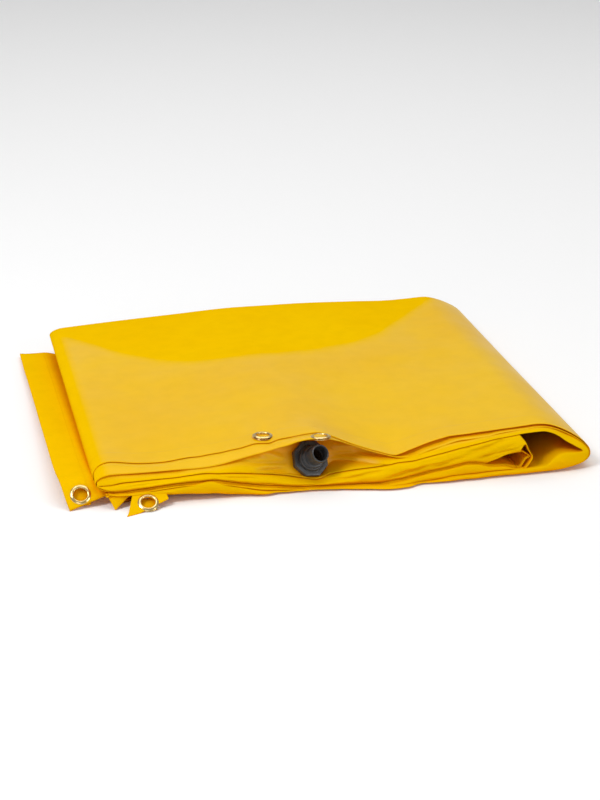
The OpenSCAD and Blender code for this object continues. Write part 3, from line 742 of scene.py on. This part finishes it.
for v_ in np.linspace(0, 1, 26):
    l = np.array([-349 + 10 * v_, -341 - 15 * v_, 19 - 18.2 * v_ + 4.0 * v_ * (1 - v_)])
    m_ = np.array([-333 - 4 * v_, -349 - 8 * v_, 16 - 14.9 * v_])
    r = np.array([-312 - 26 * v_, -341 - 15.4 * v_, 18 - 17.2 * v_])
    tipr.append([l * (1 - q) ** 2 + 2 * m_ * q * (1 - q) + r * q * q for q in np.linspace(0, 1, 22)])
small_tip = grid_object("under_tip_sheet", np.array(tipr))
thicken(small_tip, 1.2); apply_mods(small_tip)

for ob in (sheet_upper, sheet_right, sheet_bottom, flap, flap_ply, under, under_ply, small_tip):
    finish_piece(ob, VINYL)
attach(sheet_upper, "upper_stack"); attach(under, "upper_stack"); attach(small_tip, "upper_stack"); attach(under_ply, "upper_stack"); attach(flap_ply, "corner_flap")
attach(sheet_bottom, "lower_sheet")
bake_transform(sheet_right)
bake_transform(flap)
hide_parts("top_layer", "second_layer", "drain_upper_layer", "drain_lower_layer", "drain_panel",
            "left_roll", "second_pass", "inner_fold", "third_pass", "top_hem", "second_hem")
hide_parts("right_fold")
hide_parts("bottom_pass", "bottom_hem")
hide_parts("flap_strip", "flap_hem")
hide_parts("under_corner", "under_corner_hem")

# ------------------------------------------------------------------ turned pieces
def lathe(name, prof_rz, origin, axis, n=72, radius=None, twist=0.0):
    """Turns a closed profile of (radius, height) in mm round an axis through origin."""
    axis = np.array(axis, float); axis /= np.linalg.norm(axis)
    ref = np.array([1.0, 0, 0]) if abs(axis[0]) < 0.9 else np.array([0, 1.0, 0])
    ex = ref - axis * ref.dot(axis); ex /= np.linalg.norm(ex); ey = np.cross(axis, ex)
    k = len(prof_rz); verts, faces = [], []
    for i in range(n):
        a = 2 * math.pi * i / n + twist
        for r, z in prof_rz:
            rr = radius(a - twist, r, z) if radius else r
            verts.append(tuple((np.array(origin) + (ex * math.cos(a) + ey * math.sin(a)) * rr + axis * z) * MM))
    for i in range(n):
        for j in range(k):
            a, b = i * k + j, i * k + (j + 1) % k
            c, d = ((i + 1) % n) * k + (j + 1) % k, ((i + 1) % n) * k + j
            faces.append((a, d, c, b))
    m = bpy.data.meshes.new(name); m.from_pydata(verts, [], faces); m.update()
    bm = bmesh.new(); bm.from_mesh(m); bmesh.ops.recalc_face_normals(bm, faces=bm.faces)
    bmesh.ops.dissolve_degenerate(bm, dist=1e-7, edges=bm.edges); bm.to_mesh(m); bm.free()
    ob = bpy.data.objects.new(name, m); scene.collection.objects.link(ob)
    for p in m.polygons: p.use_smooth = True
    sharp = m.attributes.new("sharp_edge", "BOOLEAN", "EDGE") if "sharp_edge" not in m.attributes else m.attributes["sharp_edge"]
    bm = bmesh.new(); bm.from_mesh(m)
    flags = [len(e.link_faces) == 2 and e.calc_face_angle(0) > math.radians(38) for e in bm.edges]
    bm.free()
    m.attributes["sharp_edge"].data.foreach_set("value", flags)
    return ob

EYE_FACE = [(9.9, -2.2), (9.9, 0.5), (10.15, 1.0), (10.7, 1.45), (11.5, 1.62), (12.4, 1.50), (13.4, 1.05), (14.3, 0.55), (14.9, 0.22), (15.0, 0.0),
            (14.7, -0.12), (12.5, -0.1), (11.0, -0.1), (10.7, -0.5), (10.6, -2.2)]
WASHER = [(10.1, -2.9), (10.1, -1.9), (10.6, -1.6), (11.6, -1.5), (13.8, -1.7), (14.7, -2.0), (15.0, -2.4), (14.8, -2.7), (13.0, -2.8), (10.6, -3.0)]
def teeth(a, r, z): return r
def eyelet(tag, origin, axis, body, node_face, node_back, lift=0.3, dent=0.0, back=True):
    o = np.array(origin, float) + np.array(axis, float) / np.linalg.norm(axis) * lift
    fn = (lambda a, r, z: r + dent * math.sin(2 * a + 0.7)) if dent else None
    e = lathe(tag + "_rim", EYE_FACE, o, axis, 64, fn)
    finish_piece(e, BRASS, body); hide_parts(node_face)
    if back:
        w_ = lathe(tag + "_back", WASHER, o, axis, 56)
        finish_piece(w_, BRASS, body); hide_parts(node_back)

UPV = (0, 0, 1)
eyelet("top_eyelet_v", (-111, -281, 66.0), (0.03, 0.05, 1), "upper_stack", "top_eyelet", "top_eyelet_washer", lift=0.5, dent=0.15)
eyelet("second_eyelet_v", (-34, -323.5, 74.9), (0.0, 0.13, 1), "upper_stack", "second_eyelet", "second_eyelet_washer", lift=0.2, dent=0.15)
eyelet("flap_eyelet_v", (-384.5, -330.5, 17.0), (0.0, -0.7071, 0.7071), "corner_flap", "flap_eyelet", "flap_eyelet_washer", lift=0.9, dent=0.08)
eyelet("under_eyelet_v", tuple(UE), (0.0, -math.sin(UT), math.cos(UT)), "upper_stack", "under_corner_eyelet", "under_corner_washer", lift=0.9, dent=0.12)
for i, y in enumerate((-318, 318)):
    e = lathe("bottom_eyelet_rim_%d" % i, EYE_FACE, (-322, y, 3.0), UPV, 64)
    finish_piece(e, BRASS, "lower_sheet")
    w_ = lathe("bottom_eyelet_back_%d" % i, WASHER, (-322, y, 3.0), UPV, 56)
    finish_piece(w_, BRASS, "lower_sheet")
    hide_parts("bottom_eyelets"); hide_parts("bottom_eyelet_washers")

# ---- drain fitting, along its axis from the panel's face
def groove(z0, z1, r, pitch, depth, out):
    """A thread's crests and roots between two heights."""
    z = z0
    while z + pitch <= z1 + 1e-6:
        out += [(r, z), (r, z + 0.25 * pitch), (r - depth, z + 0.5 * pitch), (r - depth, z + 0.75 * pitch)]
        z += pitch
    out.append((r, z1)); return out
body = [(11.0, -5.6), (24.4, -5.6), (25.0, -5.0), (25.0, -3.2), (24.4, -2.6), (17.2, -2.6), (16.5, -2.6)]
body = groove(-2.4, 20.8, 16.5, 2.2, 0.75, body)
body += [(16.3, 21.4), (15.6, 22.0), (14.2, 22.0), (13.4, 22.3), (13.2, 22.9), (13.2, 26.0), (12.75, 26.2), (12.75, 27.0), (13.2, 27.2), (13.2, 35.0),
         (12.95, 35.3), (12.95, 36.0), (13.2, 36.3), (13.2, 43.4), (12.9, 44.2), (12.3, 44.7), (11.7, 44.7), (11.2, 44.3), (11.0, 43.6), (11.0, 26.0), (10.6, 25.8), (10.6, 24.4), (11.0, 24.2)]
drain = lathe("drain_body_v", body, DRAIN_O, DRAIN_A, 96)
finish_piece(drain, BLACK, "upper_stack"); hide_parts("drain_body")
gasket = lathe("drain_gasket_v", [(16.7, -2.55), (24.2, -2.55), (24.6, -2.2), (24.7, -1.6), (24.6, -1.0), (24.2, -0.65), (16.7, -0.65)], DRAIN_O, DRAIN_A, 72)
finish_piece(gasket, RUBBER, "upper_stack"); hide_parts("drain_gasket")
slip = lathe("nut_washer_v", [(16.9, 0.15), (23.7, 0.15), (24.0, 0.4), (24.0, 1.3), (23.7, 1.55), (16.9, 1.55)], DRAIN_O, DRAIN_A, 72)
finish_piece(slip, BLACK, "slip_washer"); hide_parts("nut_washer")

AF = 26.0
def oct_r(a, r, z):
    """Radius of the eight-sided part of the nut: the flats stand AF from the axis, and its corners are eased."""
    if r < 20.0: 
        return r
    m = (a % (math.pi / 4)) - math.pi / 8
    flat = AF / math.cos(m)
    return min(flat, 28.0) * r / 28.0
nut = [(16.75, 1.75), (27.7, 1.75), (28.0, 2.0), (28.0, 9.9), (27.4, 10.6), (26.6, 10.7), (22.6, 10.7), (22.2, 10.2), (20.6, 10.2), (19.5, 10.9),
       (19.5, 13.6), (19.2, 14.6), (18.6, 15.2), (18.3, 15.5), (18.0, 15.7), (17.0, 15.7), (16.75, 15.5)]
locknut = lathe("locknut_v", nut, DRAIN_O, DRAIN_A, 192, oct_r, twist=math.radians(22.5))
finish_piece(locknut, BLACK, "locknut_body"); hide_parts("locknut")

# ------------------------------------------------------------------ stage, light, camera
def stage():
    me = bpy.data.meshes.new("floor")
    bm = bmesh.new()
    prof = [(-6.0, 0.0), (5.4, 0.0)] + [(5.4 + 1.6 * math.sin(a), 1.6 - 1.6 * math.cos(a)) for a in np.linspace(0.1, math.pi / 2, 14)] + [(7.0, 6.0)]
    rows = []
    for x in (-9.0, 9.0):
        rows.append([bm.verts.new((x, y, z)) for y, z in prof])
    for i in range(len(prof) - 1):
        bm.faces.new((rows[0][i], rows[1][i], rows[1][i + 1], rows[0][i + 1]))
    bm.to_mesh(me); bm.free()
    for p in me.polygons: p.use_smooth = True
    ob = bpy.data.objects.new("floor", me); scene.collection.objects.link(ob)
    m, nt, b, out = new_mat("pale_floor")
    b.inputs["Base Color"].default_value = (0.93, 0.93, 0.93, 1); b.inputs["Roughness"].default_value = 0.9
    b.inputs["Specular IOR Level"].default_value = 0.1
    me.materials.append(m)
stage()

def area(name, loc, target, size, power, color=(1, 1, 1), size_y=None):
    l = bpy.data.lights.new(name, "AREA"); l.energy = power; l.size = size; l.color = color
    if size_y: l.shape = "RECTANGLE"; l.size_y = size_y
    o = bpy.data.objects.new(name, l); scene.collection.objects.link(o)
    o.location = loc
    d = Vector(target) - Vector(loc)
    o.rotation_euler = d.to_track_quat("-Z", "Y").to_euler()
    return o
area("key", (-2.4, -1.3, 3.2), (0, 0, 0), 1.2, 75)
area("fill", (2.6, -2.8, 1.3), (0.1, -0.3, 0), 1.4, 27)
area("front", (-1.0, -3.4, 1.0), (0, 0, 0), 1.2, 8)
area("top", (0.2, 1.4, 4.6), (0.0, 0.9, 0), 5.0, 112)

w = bpy.data.worlds.new("studio"); scene.world = w; w.use_nodes = True
w.node_tree.nodes["Background"].inputs["Color"].default_value = (1, 1, 1, 1)
w.node_tree.nodes["Background"].inputs["Strength"].default_value = 0.36

cam = bpy.data.cameras.new("camera"); cam.lens = 90.0; cam.sensor_width = 36.0
cam.clip_start = 0.05; cam.clip_end = 50
co = bpy.data.objects.new("camera", cam); scene.collection.objects.link(co)
el, az = math.radians(20.5), math.radians(-12.0)
back = Vector((math.sin(az) * math.cos(el), -math.cos(az) * math.cos(el), math.sin(el)))
right = Vector((math.cos(az), math.sin(az), 0)); up = back.cross(right)
M = Matrix((right, up, back)).transposed().to_4x4()
M.translation = Vector((-0.6228, -2.9512, 1.1378))
co.matrix_world = M
scene.camera = co
scene.view_settings.view_transform = "Standard"

def cloth(P):
    u = np.linalg.norm(np.diff(P, axis=0), axis=2).sum(0).mean() * MM; v_ = np.linalg.norm(np.diff(P, axis=1), axis=2).sum(1).mean() * MM
    return (round(float(v_), 3), round(float(u), 3))
k_up, k_rt = nb + nr, nb
